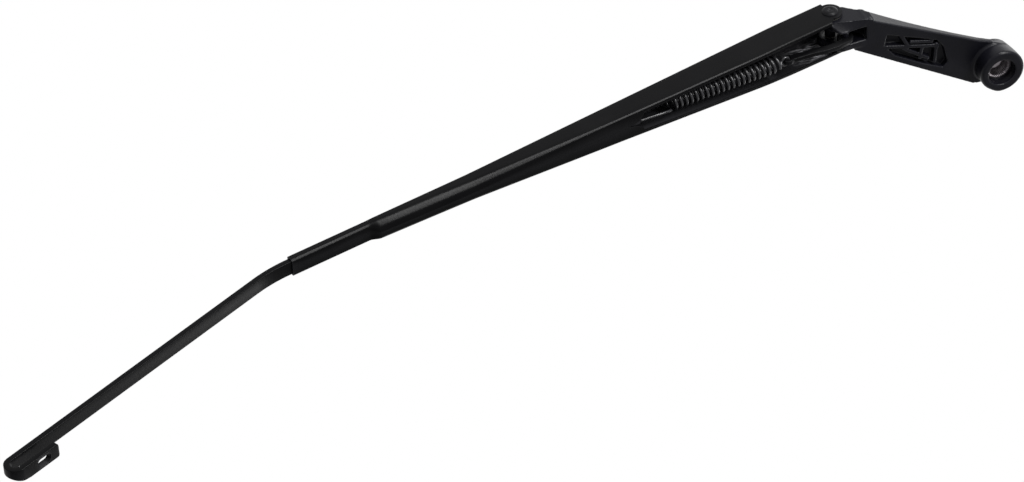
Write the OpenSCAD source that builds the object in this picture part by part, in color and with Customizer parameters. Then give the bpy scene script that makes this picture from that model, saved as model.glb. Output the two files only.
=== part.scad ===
// Wiper arm with a cranked head, a pressed channel, a tension spring and a flat bar with a hook.
// The origin is the centre of the boss's lower end, on the spindle's axis.
// +Z runs along the spindle away from the glass, and the arm points towards +X.

/* [Spindle boss] */
// Outer radius of the boss
boss_r = 14.3; // [13:0.1:17]
// Height of the boss
boss_h = 22.5; // [21:0.5:28]
// Radius of the recess in the boss's lower end
skirt_r = 9.8; // [9.6:0.1:12]
// Depth of the recess in the boss's lower end
skirt_depth = 6.5; // [4:0.5:8]
// Radius of the spindle's threaded stud hole
stud_r = 5.2; // [4:0.1:6]
// Radius of the splined seat at its mouth
spline_r = 7.4; // [6.8:0.1:8]
// Depth of the splined seat
spline_depth = 6.5; // [4:0.5:8]
// Number of teeth in the splined seat
spline_teeth = 36; // [24:1:48]
// Outer radius of the steel sleeve
sleeve_r = 9.2; // [8.8:0.1:9.6]
// Radius of the nut's recess in the upper end
nut_r = 11.2; // [10:0.1:12]
// Depth of the nut's recess
nut_depth = 3.5; // [2:0.5:5]
// Radius of the fillet where the boss meets the bar's underside
boss_fillet = 1.6; // [0.8:0.1:2.5]

/* [Head] */
// Angle between the head's bar and the arm, seen from above
crank = 31.5; // [24:0.5:36]
// Height of the head's underside above the boss's lower end
head_z = 13.0; // [11:0.5:14]
// Thickness of the bar's side edges beside the boss
edge_t_boss = 4.0; // [3.5:0.1:6]
// Thickness of the bar's side edges at the elbow
edge_t_elbow = 12.0; // [9:0.5:14]
// How far the bar's top is crowned above its side edges
crown_rise = 3.4; // [1:0.1:5]
// Distance from the spindle to the bar's far side edge
far_edge = 19.0; // [17:0.5:21]
// Distance from the spindle to the bar's near side edge, at the elbow
near_edge = 3.8; // [2:0.2:6]
// Distance from the spindle to the bar's near side edge, beside the boss
near_edge_boss = 11.0; // [9:0.5:12]
// Depth of the pockets under the bar
pocket_depth = 4.2; // [2:0.1:4.6]
// Thickness of the ribs between the pockets
rib_t = 1.9; // [1.2:0.1:2.6]

/* [Hinge] */
// Distance from the spindle to the hinge pin along X
hinge_x = 109.5; // [104:0.5:130]
// Height of the hinge pin
hinge_z = 27.5; // [26:0.5:31]
// Distance from the spindle to the arm's centre line along Y
arm_y = 49.0; // [46:0.5:54]
// Radius of the hinge rivet
rivet_r = 3.5; // [2.5:0.1:4]
// Radius of the rivet's formed heads
rivet_head_r = 5.3; // [4.8:0.1:6.5]
// Height of the rivet's formed heads
rivet_head_h = 1.6; // [1:0.1:2.5]
// Wall of the bushes in the tongue
bush_wall = 1.2; // [0.8:0.1:1.6]
// Thickness of the bushes' flanges
bush_flange = 1.2; // [0.8:0.1:2]
// Running clearance round the rivet
running_gap = 0.05; // [0.03:0.01:0.1]
// Running clearance between the flanges and the channel's cheeks
cheek_gap = 0.1; // [0.05:0.01:0.3]
// Width of the tongue between the channel's cheeks
tongue_w = 21.0; // [19:0.5:26]
// Radius of the tongue's end round the rivet
tongue_r = 8.2; // [7:0.1:8.6]
// Width of the slot for the spring's link
slot_w = 10.5; // [8:0.5:12]

/* [Channel] */
// How far the arm leans towards the glass at rest
fold = 15; // [8:1:20]
// Height of the channel's crown above the rivet
crown_z = 10.1; // [9.8:0.1:11]
// Thickness of the sheet
sheet_t = 1.1; // [0.9:0.05:1.2]
// Radius of the channel's cheeks round the rivet
cheek_r = 8.0; // [6.6:0.1:8.6]
// Distance from the rivet to where the channel starts to narrow
narrow_start = 40; // [30:1:60]
// Distance from the rivet to where it stops
narrow_end = 276; // [240:2:300]
// Width of the channel at its narrow end
width_neck = 12.6; // [12:0.1:15]
// Depth of the channel at the hinge
depth_root = 21.0; // [19:0.2:22]
// Depth of the channel where the crimp starts
depth_neck = 8.2; // [7.4:0.1:9]
// Distance from the rivet to where the channel starts to get shallower
shallow_start = 60; // [40:2:80]
// Distance from the rivet to the end of the open stretch
open_end = 155; // [150:1:165]
// Distance from the rivet to the crimp
crimp_start = 352; // [330:1:370]
// Length of the crimp round the flat bar
crimp_len = 56; // [40:1:70]
// Outer radius of the bend between crown and walls
bend_r = 3.0; // [2.4:0.1:4]
// Outer radius of the bend between walls and floor
floor_r = 3.0; // [2.4:0.1:3.4]

/* [Flat bar and hook] */
// Width of the bar
bar_w = 9.0; // [8:0.1:10]
// Thickness of the bar
bar_t = 3.0; // [2.5:0.1:3.2]
// Clearance between bar and crimp
crimp_gap = 0.05; // [0.02:0.01:0.1]
// Length of the bar hidden in the channel
bar_hidden = 70; // [58:1:90]
// Straight length between the crimp and the bend
bar_lead = 8; // [4:1:20]
// Angle of the bend towards the glass
bar_bend = 14.5; // [8:0.5:18]
// Inner radius of the bend
bar_bend_r = 110; // [60:5:140]
// Straight length from the bend to the hook
bar_run = 201.5; // [150:0.5:240]
// Inner radius of the hook
hook_r = 3.95; // [3.5:0.05:5]
// Straight length of the hook's return leg
hook_leg = 26; // [24:1:32]
// Radius of the corners at the return leg's end
hook_corner = 2.6; // [1:0.1:4]
// Length of the slot in the return leg
hook_slot_len = 10; // [6:0.5:12]
// Distance from the slot's middle to the end of the return leg
slot_back = 11; // [9:0.5:13]
// Width of the slot in the return leg
hook_slot_w = 4.0; // [3:0.1:5]

/* [Spring and link] */
// Radius of the head's cross-bar
cross_r = 2.0; // [1.6:0.1:2.4]
// How far the cross-bar lies behind the rivet
cross_back = 4.7; // [3:0.1:7]
// How far the cross-bar lies below the rivet
cross_drop = 14.0; // [12.5:0.1:15]
// Distance from the rivet to the spring's anchor in the channel
anchor_x = 140; // [132:1:146]
// Drop of the spring's anchor below the rivet's level
anchor_drop = 3.5; // [2:0.1:5]
// Thickness of the link
link_t = 3.0; // [2.4:0.1:4]
// Distance between the link's two eyes
link_len = 43; // [38:1:48]
// Depth of the link's bar
link_w = 5.0; // [4:0.1:6]
// Outer radius of the spring's coils
spring_r = 5.2; // [4.6:0.1:5.6]
// Diameter of the spring's wire
wire_d = 2.0; // [1.6:0.1:2.2]
// Number of coils
coils = 21; // [16:1:22]
// Mean radius of the spring's end loops
loop_r = 3.6; // [3.3:0.1:4]
// Play of the spring's loops in their eyes
eye_gap = 0.5; // [0.3:0.1:0.8]

/* [Hidden] */
$fn = 48;
eps = 0.01;
joint_lap = 0.02;
coarse = 32;
reach = 200;
width_root = tongue_w + 2 * (bush_flange + cheek_gap + sheet_t);
bush_r = rivet_r + running_gap + bush_wall;
flange_r = tongue_r - 0.6;
cross_x = hinge_x - cross_back;
cross_z = hinge_z - cross_drop;
anchor_px = hinge_x + anchor_x * cos(fold) - anchor_drop * sin(fold);
anchor_pz = hinge_z - anchor_x * sin(fold) - anchor_drop * cos(fold);
spring_dx = anchor_px - cross_x;
spring_dz = anchor_pz - cross_z;
spring_len = sqrt(spring_dx * spring_dx + spring_dz * spring_dz);
spring_tilt = atan2(-spring_dz, spring_dx);
wire_r = wire_d / 2;
eye_r = wire_r + eye_gap;
link_eye_rim = 2.2;
lug_t = 2.0;
coil_start = link_len + 2 * loop_r + 3;
coil_end = spring_len - 2 * loop_r - 3;
crimp_end = crimp_start + crimp_len;
crimp_w = bar_w + 2 * crimp_gap + 2 * sheet_t;
crimp_d = bar_t + 2 * crimp_gap + 2 * sheet_t;
bar_z = crown_z - sheet_t - crimp_gap - bar_t / 2;

// Puts a shape from the arm's own frame, with its origin on the rivet, into the part's frame
module on_arm() {
    translate([hinge_x, arm_y, hinge_z])
        rotate([0, fold, 0])
            children();
}

// Puts a shape from the frame of the spring's line, with its origin on the cross-bar, into place
module on_spring_line() {
    translate([cross_x, arm_y, cross_z])
        rotate([0, spring_tilt, 0])
            children();
}

// A cylinder along Y with its middle at the origin
module cross_cylinder(r, len) {
    rotate([90, 0, 0])
        cylinder(r = r, h = len, center = true);
}

// A flat plate in the XZ plane, drawn in 2D with Z upwards
module side_plate(t) {
    rotate([90, 0, 0])
        linear_extrude(t, center = true)
            children();
}

// How far along the bar the elbow's far corner lies, and the elbow's own length
elbow_u = hinge_x - 11;
elbow_len = 20;
edge_start = 20;

// Outline of the head's bar from above, from the boss to the elbow
module bar_outline() {
    rotate(crank)
        polygon([[2, -far_edge + 1.5], [6, -far_edge], [elbow_u, -far_edge], [elbow_u + 6, near_edge],
                 [edge_start, near_edge_boss], [3, boss_r], [0, 0]]);
}

// Outline of the whole head from above, with its corners eased
module head_outline() {
    offset(r = 2)
        offset(delta = -2)
            offset(r = -8)
                offset(delta = 8)
                    union() {
                        bar_outline();
                        circle(r = boss_r);
                        translate([hinge_x - elbow_len, arm_y - tongue_w / 2])
                            square([elbow_len, tongue_w]);
                    }
}

// Thickness of the bar's side edges at a distance u from the spindle, and its crowned top from edge to edge
function near_at(u) = mix(near_edge_boss, near_edge, (u - edge_start) / (elbow_u + 6 - edge_start));
function edge_t(u) = mix(edge_t_boss, edge_t_elbow, pow(max(0, (u - edge_start) / (elbow_u + 6 - edge_start)), 2.2));
function crown_at(k) = crown_rise * (1 - k * k);
crown_steps = 10;
top_stations = [-boss_r - 4, edge_start, 40, 56, 68, 78, 87, 95, elbow_u + 6, elbow_u + elbow_len];

// A crowned slab that is wider than the bar, laid along it
module crowned_slab() {
    rotate(crank)
        loft([for (u = top_stations)
            let (half = (near_at(u) + far_edge) / 2, middle = (near_at(u) - far_edge) / 2)
            concat([for (i = [0 : crown_steps])
                       let (k = 1.6 - 3.2 * i / crown_steps)
                       [u, middle + half * k, head_z + edge_t(u) + crown_at(k)]],
                   [for (i = [0 : crown_steps])
                       [u, middle + half * (3.2 * i / crown_steps - 1.6), head_z]])]);
}

// Side view of the forked tongue: a ramp up to the stop edge behind the channel, and the round end
ramp_x = 19.4;
ramp_z = 3.5;
stop_r = 10.7;
stop_angle = 153;
roof_t = 3.2;
module tongue_profile() {
    translate([hinge_x, hinge_z]) {
        polygon([[-ramp_x - 5, head_z - hinge_z], [-ramp_x, head_z - hinge_z],
                 [-cross_back - 5, -cross_drop - 1.2], [-cross_back + 2.6, -cross_drop - 2.4],
                 [3, -tongue_r - 3], [tongue_r * 0.94, -2.5], [tongue_r * 0.5, 0], [0, tongue_r],
                 [tongue_r * cos(stop_angle), tongue_r * sin(stop_angle)],
                 [stop_r * cos(stop_angle), stop_r * sin(stop_angle)], [-ramp_x, -ramp_z], [-ramp_x - 5, -ramp_z - 4]]);
        circle(r = tongue_r);
    }
}

// The tongue's section across the arm, with its lower corners eased
module tongue_section() {
    w = tongue_w / 2;
    ease_w = 2.6;
    polygon([[arm_y - w, head_z + ease_w], [arm_y - w + ease_w, head_z - 4], [arm_y + w - ease_w, head_z - 4],
             [arm_y + w, head_z + ease_w], [arm_y + w, hinge_z + reach], [arm_y - w, hinge_z + reach]]);
}

// The pockets under the bar: a window crossed by ribs, each from one point to another
module rib(a, b) {
    d = b - a;
    translate(a)
        rotate(atan2(d[1], d[0]))
            translate([-rib_t, -rib_t / 2])
                square([norm(d) + 2 * rib_t, rib_t]);
}

module pocket_plan() {
    far = 3.6 - far_edge;
    difference() {
        polygon([[elbow_u - 11, -2.6], [50, 3.8], [42, 0.3], [33, -9.2], [34, far + 1.4], [49, far],
                 [73, far], [elbow_u - 14, far + 4.6]]);
        rib([elbow_u - 16, far + 4], [48, -0.4]);
        rib([69, -9], [50, far + 4.8]);
        rib([77, -0.6], [68, -6]);
        rib([48, -0.4], [43, far + 5]);
        rib([66, -2.6], [54, 1.2]);
        rib([57, -5.4], [55, far + 4.6]);
    }
}

// Cast head: bar, boss, forked tongue and the cross-bar that holds the spring's link
module head_casting() {
    color([0.13, 0.13, 0.14])
        difference() {
            union() {
                intersection() {
                    linear_extrude(reach)
                        head_outline();
                    crowned_slab();
                    translate([hinge_x - ramp_x + 8 - reach, -reach / 2, 0])
                        cube([reach, 2 * reach, reach]);
                }
                intersection() {
                    translate([0, arm_y, 0])
                        side_plate(tongue_w)
                            tongue_profile();
                    rotate([90, 0, 90])
                        linear_extrude(reach)
                            tongue_section();
                }
                rotate_extrude()
                    polygon([[0, 0], [boss_r - 1.2, 0], [boss_r, 1.2], [boss_r, boss_h - 2.4],
                             [boss_r - 0.8, boss_h - 0.8], [boss_r - 2.4, boss_h], [0, boss_h]]);
                intersection() {
                    translate([0, 0, head_z - boss_fillet])
                        cylinder(r1 = boss_r, r2 = boss_r + boss_fillet, h = boss_fillet + eps);
                    linear_extrude(reach)
                        head_outline();
                }
            }
            translate([0, 0, -1])
                cylinder(r = skirt_r, h = skirt_depth + 1);
            cylinder(r = sleeve_r, h = boss_h - nut_depth);
            translate([0, 0, boss_h - nut_depth - eps])
                cylinder(r = nut_r, h = nut_depth + 1);
            translate([0, 0, head_z - eps])
                linear_extrude(pocket_depth)
                    rotate(crank)
                        pocket_plan();
            link_room();
            translate([hinge_x, arm_y, hinge_z])
                cross_cylinder(bush_r, tongue_w + 2);
        }
}

// Room in the tongue for the link: a roofed pocket behind the cross-bar, and a slot open to the front
pocket_back = 15;
module link_room() {
    difference() {
        translate([0, arm_y, 0])
            side_plate(slot_w)
                polygon([[cross_x - pocket_back, head_z - 5], [cross_x - pocket_back, hinge_z - ramp_z - roof_t - 1.5],
                         [hinge_x - stop_r, hinge_z + 5 - roof_t], [hinge_x - stop_r, reach],
                         [hinge_x + 45, reach], [hinge_x + 45, head_z - 5]]);
        translate([cross_x, arm_y, cross_z])
            cross_cylinder(cross_r, slot_w + 2);
    }
}

// Splined steel sleeve, pressed into the boss
module spindle_sleeve() {
    sleeve_h = boss_h - nut_depth - skirt_depth;
    color([0.62, 0.58, 0.56])
        translate([0, 0, skirt_depth])
            difference() {
                cylinder(r = sleeve_r, h = sleeve_h);
                translate([0, 0, -eps])
                    cylinder(r1 = spline_r + 0.6, r2 = spline_r - 0.2, h = 0.8 + eps);
                translate([0, 0, -eps])
                    linear_extrude(spline_depth, scale = 0.92)
                        spline_outline();
                translate([0, 0, -1])
                    cylinder(r = stud_r, h = sleeve_h + 2);
            }
}

// Star outline of the splined seat
module spline_outline() {
    step = 180 / spline_teeth;
    polygon([for (i = [0 : 2 * spline_teeth - 1])
        (spline_r - (i % 2) * 0.7) * [cos(i * step), sin(i * step)]]);
}

// Flanged bush in one cheek of the tongue
module hinge_bush(side) {
    color([0.82, 0.8, 0.74])
        translate([hinge_x, arm_y + side * tongue_w / 2, hinge_z])
            rotate([side * 90, 0, 0])
                difference() {
                    union() {
                        cylinder(r = bush_r, h = (tongue_w - slot_w) / 2);
                        translate([0, 0, -bush_flange])
                            cylinder(r = flange_r, h = bush_flange);
                    }
                    translate([0, 0, -bush_flange - 1])
                        cylinder(r = rivet_r + running_gap, h = tongue_w);
                }
}

module hinge_bush_near() {
    hinge_bush(1);
}

module hinge_bush_far() {
    hinge_bush(-1);
}

// Hinge rivet with a formed head at each end
module hinge_rivet() {
    half = width_root / 2;
    color([0.16, 0.16, 0.17])
        translate([hinge_x, arm_y, hinge_z])
            rotate([90, 0, 0])
                rotate_extrude()
                    polygon([[0, -half - rivet_head_h], [rivet_head_r - 1.4, -half - rivet_head_h],
                             [rivet_head_r, -half - 0.4], [rivet_head_r, -half], [rivet_r, -half],
                             [rivet_r, half], [rivet_head_r, half], [rivet_head_r, half + 0.4],
                             [rivet_head_r - 1.4, half + rivet_head_h], [0, half + rivet_head_h]]);
}

// Width, depth and fold of the channel at a distance x from the rivet
crimp_step = 5;
crimp_r = 1.7;
fold_len = 12;
fold_steps = 8;
lip_slit = 0.3;
lip_hem = 1.2;
function mix(a, b, k) = a + (b - a) * min(1, max(0, k));
function ease(k) = let (c = min(1, max(0, k))) c * c * (3 - 2 * c);
function free_width(x) = mix(width_root, width_neck, (x - narrow_start) / (narrow_end - narrow_start));
function free_depth(x) = mix(depth_root, depth_neck, (x - shallow_start) / (crimp_start - shallow_start));
function crimped(x) = ease((x - crimp_start + crimp_step) / crimp_step);
function width_at(x) = mix(free_width(x), crimp_w, crimped(x));
function depth_at(x) = mix(free_depth(x), crimp_d, crimped(x));
function folded(x) = min(1, max(0, (x - open_end + fold_len) / fold_len));
function lip_angle(x) = 90 * ease(folded(x) * 1.6);
function bottom_r(x) = mix(floor_r, crimp_r, crimped(x));
function floor_len(x) = mix(lip_hem, width_at(x) / 2 - bottom_r(x) - lip_slit / 2, sqrt(max(0, 1 - pow(1 - folded(x), 2))));
function top_r(x) = mix(bend_r, crimp_r, crimped(x));

// A lip bent by an angle over a length of arc that stays the same: how far it has gone down and in
function lip_arc(rb) = rb * PI / 2;
function lip_drop(rb, g, k) = g < 1 ? lip_arc(rb) * k : lip_arc(rb) / (g * PI / 180) * sin(g * k);
function lip_in(rb, g, k) = g < 1 ? 0 : lip_arc(rb) / (g * PI / 180) * (1 - cos(g * k));

// Half of the channel's section: points with their outward normals, from the crown to the lip
arc_steps = 5;
function half_section(x) =
    let (a = width_at(x) / 2,
         rt = top_r(x),
         rb = bottom_r(x),
         g = lip_angle(x),
         f = floor_len(x),
         drop = lip_drop(rb, g, 1) + f * cos(g),
         zb = crown_z - depth_at(x) + drop)
    concat([for (i = [0 : arc_steps])
                let (q = 90 - 90 * i / arc_steps)
                [a - rt + rt * cos(q), crown_z - rt + rt * sin(q), cos(q), sin(q)]],
           [for (i = [0 : arc_steps])
                let (k = i / arc_steps)
                [a - lip_in(rb, g, k), zb - lip_drop(rb, g, k), cos(g * k), -sin(g * k)]],
           [[a - lip_in(rb, g, 1) - f * sin(g), zb - drop, cos(g), -sin(g)]]);

// Whole section of the channel: the outer side from lip to lip, then the inner side back
function section(x) =
    let (h = half_section(x),
         n = len(h),
         outer = concat([for (i = [n - 1 : -1 : 0]) [h[i][0], h[i][1], h[i][2], h[i][3]]],
                        [for (i = [0 : n - 1]) [-h[i][0], h[i][1], -h[i][2], h[i][3]]]))
    concat([for (p = outer) [x, p[0], p[1]]],
           [for (i = [len(outer) - 1 : -1 : 0])
                let (p = outer[i])
                [x, p[0] - sheet_t * p[2], p[1] - sheet_t * p[3]]]);

// Skin through a list of rings that all have the same even number of points.
// Each end is closed by a strip between the ring's first half and its second half,
// and the two halves are split along the same diagonals, so a thin sheet keeps its thickness.
module loft(rings) {
    n = len(rings[0]);
    top = (len(rings) - 1) * n;
    polyhedron(
        points = [for (ring = rings) each ring],
        faces = concat(
            [for (i = [0 : n / 2 - 2]) each [[i, i + 1, n - 1 - i], [n - 1 - i, i + 1, n - 2 - i]]],
            [for (k = [0 : n : top - n]) for (i = [0 : n - 1])
                let (j = (i + 1) % n)
                each i < n / 2
                    ? [[k + j, k + i, k + n + j], [k + n + j, k + i, k + n + i]]
                    : [[k + j, k + i, k + n + i], [k + n + j, k + j, k + n + i]]],
            [for (i = [0 : n / 2 - 2])
                each [[top + i + 1, top + i, top + n - 1 - i],
                      [top + i + 1, top + n - 1 - i, top + n - 2 - i]]]),
        convexity = 10);
}

stations = concat([-cheek_r - 1, narrow_start, shallow_start, 100, open_end - fold_len],
                  [for (k = [1 : fold_steps]) open_end - fold_len + fold_len * k / fold_steps],
                  [200, 240, narrow_end, crimp_start - crimp_step],
                  [for (k = [1 : 4]) crimp_start - crimp_step + crimp_step * k / 4],
                  [crimp_end]);

// Side view of what is cut away behind the channel's cheeks and crown
module cheek_cut() {
    difference() {
        translate([-cheek_r - 20, -40])
            square([cheek_r + 27, 80]);
        circle(r = cheek_r);
        polygon([[0, 0], [0, crown_z + 1], [40, crown_z + 1], [40, -40], [cheek_r * 0.19, -cheek_r * 0.81]]);
    }
}

// Pressed channel: open at the hinge, folded shut further out and crimped round the bar
module arm_channel() {
    color([0.1, 0.1, 0.11])
        on_arm()
            union() {
                difference() {
                    loft([for (x = stations) section(x)]);
                    side_plate(width_root + 10)
                        cheek_cut();
                    cross_cylinder(rivet_r, width_root + 10);
                }
                difference() {
                    side_plate(lug_t)
                        polygon([[anchor_x - 3, crown_z - sheet_t + 0.2], [anchor_x + 9, crown_z - sheet_t + 0.2],
                                 [anchor_x + 4.5, -anchor_drop - 2.6], [anchor_x + 2, -anchor_drop - 4],
                                 [anchor_x - 2, -anchor_drop - 4], [anchor_x - 4, -anchor_drop - 1.5]]);
                    translate([anchor_x, 0, -anchor_drop])
                        cross_cylinder(eye_r, 10);
                }
            }
}

// Section of the flat bar, with its edges eased
bar_edge = 0.7;
module bar_section() {
    w = bar_w / 2;
    t = bar_t / 2;
    polygon([[w - bar_edge, -t], [w, -t + bar_edge], [w, t - bar_edge], [w - bar_edge, t],
             [-w + bar_edge, t], [-w, t - bar_edge], [-w, -t + bar_edge], [-w + bar_edge, -t]]);
}

// A straight stretch of the bar along +X
module bar_straight(len) {
    translate([-joint_lap, 0, 0])
        rotate([90, 0, 90])
            linear_extrude(len + 2 * joint_lap)
                bar_section();
}

// A bent stretch of the bar that starts along +X and turns towards -Z
module bar_arc(r, angle) {
    translate([0, 0, -r - bar_t / 2])
        rotate([90, 0, 0])
            rotate([0, 0, 90 - angle])
                rotate_extrude(angle = angle, $fn = 96)
                    translate([r + bar_t / 2, 0])
                        rotate(90)
                            bar_section();
}

// Moves what follows to the end of a bent stretch
module after_arc(r, angle) {
    translate([0, 0, -r - bar_t / 2])
        rotate([0, angle, 0])
            translate([0, 0, r + bar_t / 2])
                children();
}

// Return leg of the hook, with eased corners and a slot
module hook_return() {
    difference() {
        bar_straight(hook_leg);
        for (s = [-1, 1])
            translate([hook_leg, s * bar_w / 2, 0])
                rotate(45)
                    cube([hook_corner, hook_corner, bar_t + 2], center = true);
        for (s = [-1, 1])
            translate([hook_leg - slot_back + s * (hook_slot_len - hook_slot_w) / 2, 0, 0])
                cylinder(r = hook_slot_w / 2, h = bar_t + 2, center = true);
        translate([hook_leg - slot_back, 0, 0])
            cube([hook_slot_len - hook_slot_w, hook_slot_w, bar_t + 2], center = true);
    }
}

// Flat bar: held in the crimp, bent towards the glass and folded back into the hook
module arm_rod() {
    color([0.11, 0.11, 0.12])
        on_arm()
            translate([crimp_end - bar_hidden, 0, bar_z])
                union() {
                    bar_straight(bar_hidden + bar_lead);
                    translate([bar_hidden + bar_lead, 0, 0]) {
                        bar_arc(bar_bend_r, bar_bend);
                        after_arc(bar_bend_r, bar_bend) {
                            bar_straight(bar_run);
                            translate([bar_run, 0, 0]) {
                                bar_arc(hook_r, 180);
                                after_arc(hook_r, 180)
                                    hook_return();
                            }
                        }
                    }
                }
}

// Link between the head's cross-bar and the spring, dished so that it clears the rivet
module spring_link() {
    ring_r = cross_r + 0.25 + 3;
    dip = 3.6;
    path = [[1, -ring_r + 1.6], [9, -dip - 0.8], [17, -dip - 0.4], [26, -dip + 1.6], [link_len, 0]];
    color([0.14, 0.14, 0.15])
        on_spring_line()
            difference() {
                side_plate(link_t)
                    difference() {
                        union() {
                            circle(r = ring_r);
                            for (i = [0 : len(path) - 2])
                                hull() {
                                    translate(path[i])
                                        circle(d = link_w, $fn = coarse);
                                    translate(path[i + 1])
                                        circle(d = link_w, $fn = coarse);
                                }
                            translate([link_len, 0])
                                circle(r = eye_r + link_eye_rim);
                        }
                        rotate(100)
                            translate([0, -1.7])
                                square([12, 3.4]);
                    }
                cross_cylinder(cross_r + 0.06, link_t + 2);
                translate([link_len, 0, 0])
                    cross_cylinder(eye_r, link_t + 2);
            }
}

// The spring's wire as a line: front loop, coils and tail loop, along +X
loop_steps = 14;
coil_steps = 12;
lead_steps = 8;
lead_pull = 4;
mean_r = spring_r - wire_r;
function front_loop() = [for (i = [0 : loop_steps])
    let (q = 20 + (360 - 20) * i / loop_steps)
    [link_len + loop_r - eye_gap * 0.4 + loop_r * cos(q), loop_r * sin(q), 0]];
function coil_line() = [for (i = [0 : coils * coil_steps])
    let (q = 360 * i / coil_steps)
    [coil_start + (coil_end - coil_start) * i / (coils * coil_steps), mean_r * sin(q), -mean_r * cos(q)]];
function tail_loop() = [for (i = [0 : loop_steps])
    let (q = 180 - (360 - 20) * i / loop_steps)
    [spring_len - loop_r + eye_gap * 0.4 + loop_r * cos(q), loop_r * sin(q), 0]];
function first(list) = list[0];
function final(list) = list[len(list) - 1];

// Smooth lead from a to b that leaves and arrives along +Y, without its two ends
function lead(a, b) = [for (i = [1 : lead_steps - 1])
    let (k = i / lead_steps,
         c = a + [0, lead_pull, 0],
         d = b - [0, lead_pull, 0])
    pow(1 - k, 3) * a + 3 * k * pow(1 - k, 2) * c + 3 * k * k * (1 - k) * d + pow(k, 3) * b];
wire_line = concat(front_loop(), lead(final(front_loop()), first(coil_line())), coil_line(),
                   lead(final(coil_line()), first(tail_loop())), tail_loop());

// A round wire swept along a line of points
wire_sides = 6;
function unit(v) = v / norm(v);
function tangent(p, i) = unit(p[min(i + 1, len(p) - 1)] - p[max(i - 1, 0)]);
function flat_to(n, t) = unit(n - t * (n * t));
module wire(p) {
    normals = [for (i = 0, n = flat_to([0.3, 0.5, 0.8], tangent(p, 0)); i < len(p);
                    i = i + 1, n = flat_to(n, tangent(p, i))) n];
    loft([for (i = [0 : len(p) - 1])
        let (t = tangent(p, i),
             u = normals[i],
             v = cross(t, u))
        [for (k = [0 : wire_sides - 1])
            p[i] + wire_r * (cos(360 * k / wire_sides) * u + sin(360 * k / wire_sides) * v)]]);
}

// Tension spring between the link and the channel's lug
module tension_spring() {
    color([0.2, 0.2, 0.21])
        on_spring_line()
            wire(wire_line);
}

head_casting();
spindle_sleeve();
hinge_bush_near();
hinge_bush_far();
hinge_rivet();
arm_channel();
arm_rod();
spring_link();
tension_spring();
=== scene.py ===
import bmesh
import bpy
from math import atan2, cos, hypot, pi, radians, sin, sqrt
from mathutils import Matrix, Vector


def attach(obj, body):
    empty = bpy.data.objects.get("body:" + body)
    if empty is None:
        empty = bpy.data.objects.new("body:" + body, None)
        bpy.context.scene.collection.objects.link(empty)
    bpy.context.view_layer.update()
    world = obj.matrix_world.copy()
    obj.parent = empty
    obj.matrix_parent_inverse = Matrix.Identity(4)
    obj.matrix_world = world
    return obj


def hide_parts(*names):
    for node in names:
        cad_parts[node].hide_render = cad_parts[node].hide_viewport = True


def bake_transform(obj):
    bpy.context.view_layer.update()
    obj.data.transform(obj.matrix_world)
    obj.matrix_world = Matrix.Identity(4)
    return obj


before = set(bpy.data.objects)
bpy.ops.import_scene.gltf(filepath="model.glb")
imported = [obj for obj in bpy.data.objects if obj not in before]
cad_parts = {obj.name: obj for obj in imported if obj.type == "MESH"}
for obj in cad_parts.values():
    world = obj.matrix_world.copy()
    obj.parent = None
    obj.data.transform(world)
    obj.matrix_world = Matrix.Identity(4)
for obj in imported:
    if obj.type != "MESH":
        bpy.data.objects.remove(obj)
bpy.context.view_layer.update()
print("frame loaded")


# sRGB hex to linear, with an alpha of one
def hexColour(text):
    values = [int(text[i:i + 2], 16) / 255 for i in (1, 3, 5)]
    return [v / 12.92 if v <= 0.04045 else ((v + 0.055) / 1.055) ** 2.4 for v in values] + [1.0]


# adds a node with its settings, and links it: inputs are values or other nodes' outputs
def addNode(tree, kind, inputs=None, **settings):
    node = tree.nodes.new(kind)
    for key, value in settings.items():
        setattr(node, key, value)
    for key, value in (inputs or {}).items():
        if isinstance(value, bpy.types.NodeSocket):
            tree.links.new(value, node.inputs[key])
        else:
            node.inputs[key].default_value = value
    return node


# how many times a pattern of this size in millimetres repeats in a metre
def perMetre(millimetres):
    return 1000 / millimetres


# the matrix of an object at a place in metres, with its own x, y and z along three directions
def placedAlong(place, across, upward, backward):
    return Matrix.Translation(place) @ Matrix((across, upward, backward)).transposed().to_4x4()


# from a to b as k goes from 0 to 1, and no further
def mix(a, b, k):
    return a + (b - a) * min(1, max(0, k))


# the same from 0 to 1, with a soft start and end
def ease(k):
    share = min(1, max(0, k))
    return share * share * (3 - 2 * share)


# camera: fitted to the photograph, looking up at the arm's glass side
camera = {
    "place": (1.11134, 2.01229, -2.42923),
    "right": (-0.94114, -0.04344, -0.33522),
    "up": (-0.24222, 0.77840, 0.57916),
    "lens": 179.8,
    "sensor": 36,
    "clip": (0.1, 60),
}
camData = bpy.data.cameras.new("photoCamera")
camData.lens = camera["lens"]
camData.sensor_width = camera["sensor"]
camData.clip_start, camData.clip_end = camera["clip"]
cam = bpy.data.objects.new("photoCamera", camData)
bpy.context.scene.collection.objects.link(cam)
right = Vector(camera["right"]).normalized()
up = (Vector(camera["up"]) - right * right.dot(Vector(camera["up"]))).normalized()
cam.matrix_world = placedAlong(camera["place"], right, up, right.cross(up))
bpy.context.scene.camera = cam
print("camera set")

# places that the pieces share, in millimetres: the hinge rivet, with the arm's slope towards the glass,
# and the spring's line from the head's cross-bar to its anchor, which is given on the arm
hinge = {"x": 109.5, "y": 49.0, "z": 27.5, "fold": radians(15)}
springLine = {"x": 104.8, "z": 13.5, "anchorX": 140.0, "anchorDrop": 3.5}
anchorX = (hinge["x"] + springLine["anchorX"] * cos(hinge["fold"])
           - springLine["anchorDrop"] * sin(hinge["fold"]))
anchorZ = (hinge["z"] - springLine["anchorX"] * sin(hinge["fold"])
           - springLine["anchorDrop"] * cos(hinge["fold"]))
springTilt = atan2(springLine["z"] - anchorZ, anchorX - springLine["x"])


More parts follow.
